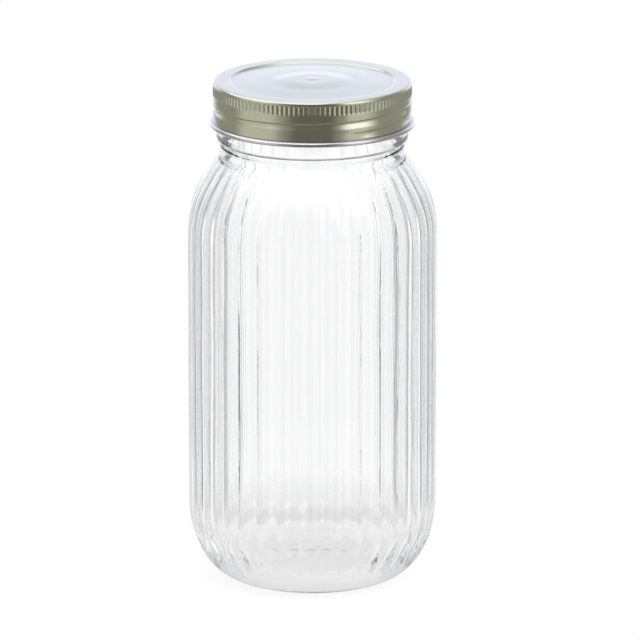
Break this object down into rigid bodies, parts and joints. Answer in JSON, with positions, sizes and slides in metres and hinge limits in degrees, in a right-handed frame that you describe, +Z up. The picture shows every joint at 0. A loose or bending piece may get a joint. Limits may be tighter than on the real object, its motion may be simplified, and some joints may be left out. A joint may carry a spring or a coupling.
{
  "type": "preserving jar",
  "caption": "Tall round jar of clear fluted glass with a wide threaded mouth, closed by a gold screw cap with a knurled edge and a sealing ring inside.",
  "frame": {"origin": "on the jar's axis, on the plane that the jar stands on", "axes": "+Z up along the jar's axis, -Y towards the picture's viewer"},
  "size_m": [0.1082, 0.1082, 0.2224],
  "materials": {
    "clear_glass": "clear polished glass, pressed and blown",
    "gold_lacquer": "satin pale gold lacquer on pressed tinplate, bare silver roll at the lower edge",
    "liner": "matt off-white sealing compound"
  },
  "bodies": {
    "jar": {"glass_jar": "clear_glass"},
    "seal": {"sealing_ring": "liner"},
    "cap": {"screw_cap": "gold_lacquer"}
  },
  "joints": [
    {"name": "cap_lift", "type": "slide", "parent": "jar", "child": "seal", "axis": [0, 0, 1], "range_m": [0, 0.0204]},
    {"name": "cap_turn", "type": "hinge", "parent": "seal", "child": "cap", "pos_m": [0, 0, 0.22], "axis": [0, 0, 1], "range_deg": [0, 1440]}
  ],
  "couplings": [
    {"joint": "cap_lift", "follows": "cap_turn", "m_per_rad": 0.00080851}
  ]
}
